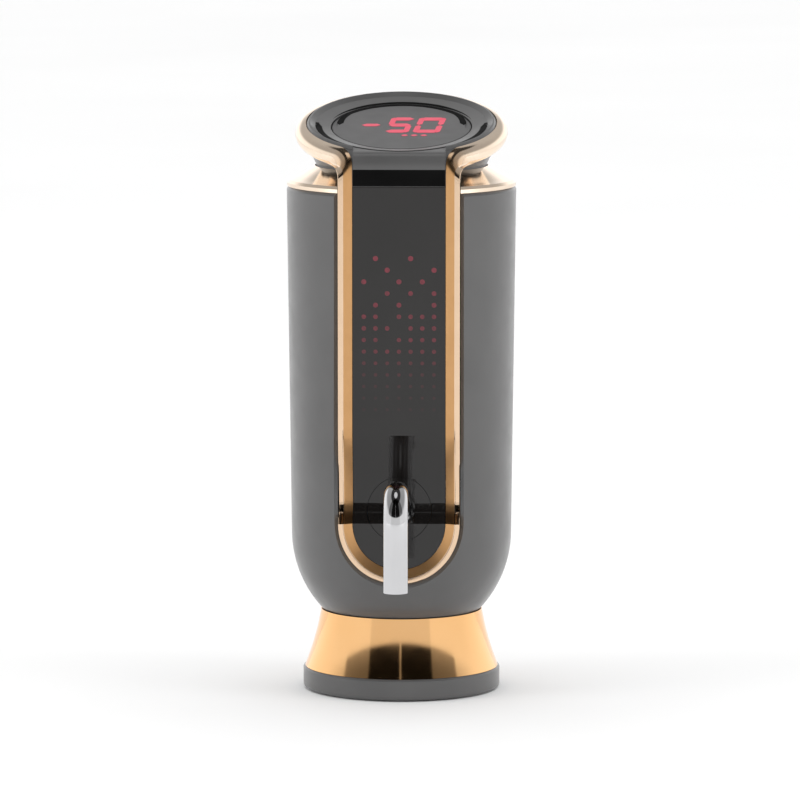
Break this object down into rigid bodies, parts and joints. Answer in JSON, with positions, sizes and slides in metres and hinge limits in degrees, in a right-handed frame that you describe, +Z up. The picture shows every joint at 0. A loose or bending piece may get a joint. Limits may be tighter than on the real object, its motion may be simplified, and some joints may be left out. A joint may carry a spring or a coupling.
{
  "type": "electric wine dispenser",
  "caption": "Round battery pump head with a chrome gooseneck spout that plugs into a bottle's neck, with a telescopic dip tube and a display on its slanted cap.",
  "frame": {"origin": "on the round body's axis, at the underside of the base ring", "axes": "+Z up along the body's axis, -Y towards the spout and display side, +X to the right seen from the front"},
  "size_m": [0.0576, 0.0858, 0.149],
  "materials": {
    "gloss_dark": "polished dark grey moulding",
    "rose_gold": "mirror rose gold plating",
    "tinted_panel": "tinted gloss panel",
    "display_window": "tinted display window",
    "chrome": "polished",
    "silicone": "matte silicone",
    "clear_hose": "translucent silicone hose",
    "steel": "drawn stainless steel",
    "frame_plastic": "moulded",
    "coil_winding": "enamelled copper winding",
    "battery_sleeve": "shrink sleeve",
    "circuit_board": "solder mask",
    "chip_black": "moulded package",
    "lamp_red": "red lamp"
  },
  "bodies": {
    "housing": {"body_shell": "gloss_dark", "trim_frame": "rose_gold", "front_panel": "tinted_panel", "top_cap": "gloss_dark", "neck_collar": "gloss_dark", "shoulder_ring": "rose_gold", "skirt": "rose_gold", "base_ring": "gloss_dark", "bottle_stopper": "silicone", "stopper_mount": "frame_plastic", "sleeve_seal": "silicone", "spout_hub": "tinted_panel", "spout_seals": "silicone", "spout_collar": "chrome", "dip_sleeve": "steel", "sleeve_head": "frame_plastic", "wine_tube": "clear_hose", "valve_body": "frame_plastic", "solenoid_coil": "coil_winding", "pump_motor": "steel", "pump_rocker": "frame_plastic", "pump_housing": "frame_plastic", "pump_diaphragm": "silicone", "pump_head": "frame_plastic", "air_tube": "clear_hose", "check_valve_body": "frame_plastic", "chassis": "frame_plastic", "battery_cell": "battery_sleeve", "battery_holder": "frame_plastic", "battery_contacts": "steel", "main_board": "circuit_board", "board_chips": "chip_black", "pressure_sensor": "chip_black", "board_screws": "steel", "led_board": "circuit_board", "led_lamps": "lamp_red", "led_mask": "frame_plastic", "display_board": "circuit_board", "display_module": "chip_black", "key_switch": "chip_black", "charge_board": "circuit_board", "usb_socket": "steel", "foot_screws": "steel", "deck_screws": "steel"},
    "spout": {"spout_tube": "chrome"},
    "key": {"key_plate": "display_window"},
    "dip_upper": {"dip_tube_upper": "steel"},
    "dip_middle": {"dip_tube_middle": "steel"},
    "dip_lower": {"dip_tube_lower": "steel", "strainer_tip": "silicone"},
    "plunger": {"solenoid_plunger": "steel"},
    "rotor": {"pump_shaft": "steel", "pump_eccentric": "frame_plastic"},
    "ball": {"check_valve_ball": "steel"}
  },
  "joints": [
    {"name": "spout_pull", "type": "slide", "parent": "housing", "child": "spout", "axis": [0, -0.9537, 0.3007], "range_m": [0, 0.008]},
    {"name": "key_press", "type": "slide", "parent": "housing", "child": "key", "axis": [0, 0.2419, -0.9703], "range_m": [0, 0.0005], "stiffness_N_per_m": 1000, "springref_m": -0.0005},
    {"name": "dip_upper_slide", "type": "slide", "parent": "housing", "child": "dip_upper", "axis": [0, 0, -1], "range_m": [0, 0.084]},
    {"name": "dip_middle_slide", "type": "slide", "parent": "dip_upper", "child": "dip_middle", "axis": [0, 0, -1], "range_m": [0, 0.084]},
    {"name": "dip_lower_slide", "type": "slide", "parent": "dip_middle", "child": "dip_lower", "axis": [0, 0, -1], "range_m": [0, 0.084]},
    {"name": "plunger_slide", "type": "slide", "parent": "housing", "child": "plunger", "axis": [1, 0, 0], "range_m": [0, 0.0015], "stiffness_N_per_m": 200, "springref_m": -0.002},
    {"name": "pump_spin", "type": "hinge", "parent": "housing", "child": "rotor", "pos_m": [0.0122, 0.009, 0.062], "axis": [0, 0, 1], "continuous": true},
    {"name": "ball_lift", "type": "slide", "parent": "housing", "child": "ball", "axis": [0, 0, 1], "range_m": [0, 0.0015]}
  ]
}
